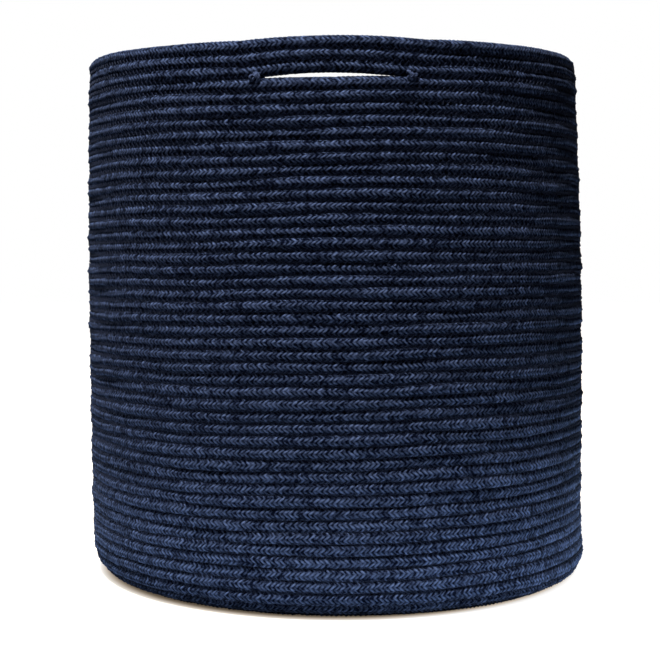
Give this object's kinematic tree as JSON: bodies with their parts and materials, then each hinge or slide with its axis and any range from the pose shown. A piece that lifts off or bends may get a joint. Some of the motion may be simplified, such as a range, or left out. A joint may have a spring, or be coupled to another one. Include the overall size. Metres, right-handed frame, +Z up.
{
  "type": "rope storage basket",
  "caption": "Round open storage basket of coiled and sewn navy cotton rope, with a hand slit under the rim at the front and the back.",
  "frame": {"origin": "middle of the underside, on the surface that the basket stands on", "axes": "+Z up along the middle of the round basket, -Y towards the front hand slit, +X to the right seen from the front"},
  "size_m": [0.379, 0.3789, 0.3845],
  "materials": {
    "rope": "matt braided cotton, slightly fuzzy",
    "thread": "matt twisted sewing thread"
  },
  "bodies": {
    "root": {"base_coil_centre": "rope", "base_coil_middle": "rope", "base_coil_edge": "rope", "corner_row_1": "rope", "corner_row_2": "rope", "corner_row_3": "rope", "wall_row_1": "rope", "wall_row_2": "rope", "wall_row_3": "rope", "wall_row_4": "rope", "wall_row_5": "rope", "wall_row_6": "rope", "wall_row_7": "rope", "wall_row_8": "rope", "wall_row_9": "rope", "wall_row_10": "rope", "wall_row_11": "rope", "wall_row_12": "rope", "wall_row_13": "rope", "wall_row_14": "rope", "wall_row_15": "rope", "wall_row_16": "rope", "wall_row_17": "rope", "wall_row_18": "rope", "wall_row_19": "rope", "wall_row_20": "rope", "wall_row_21": "rope", "wall_row_22": "rope", "wall_row_23": "rope", "wall_row_24": "rope", "wall_row_25": "rope", "wall_row_26": "rope", "wall_row_27": "rope", "wall_row_28": "rope", "wall_row_29": "rope", "wall_row_30": "rope", "wall_row_31": "rope", "wall_row_32": "rope", "wall_row_33": "rope", "wall_row_34": "rope", "wall_row_35": "rope", "wall_row_36": "rope", "wall_row_37": "rope", "wall_row_38": "rope", "wall_row_39": "rope", "wall_row_40": "rope", "wall_row_41": "rope", "wall_row_42": "rope", "rim_row_1": "rope", "rim_row_2": "rope", "rim_row_3": "rope", "base_thread_upper": "thread", "base_thread_lower": "thread", "wall_thread_outer": "thread", "wall_thread_inner": "thread", "rim_thread": "thread", "tack_front_left": "thread", "tack_front_right": "thread", "tack_back_left": "thread", "tack_back_right": "thread"}
  },
  "joints": []
}
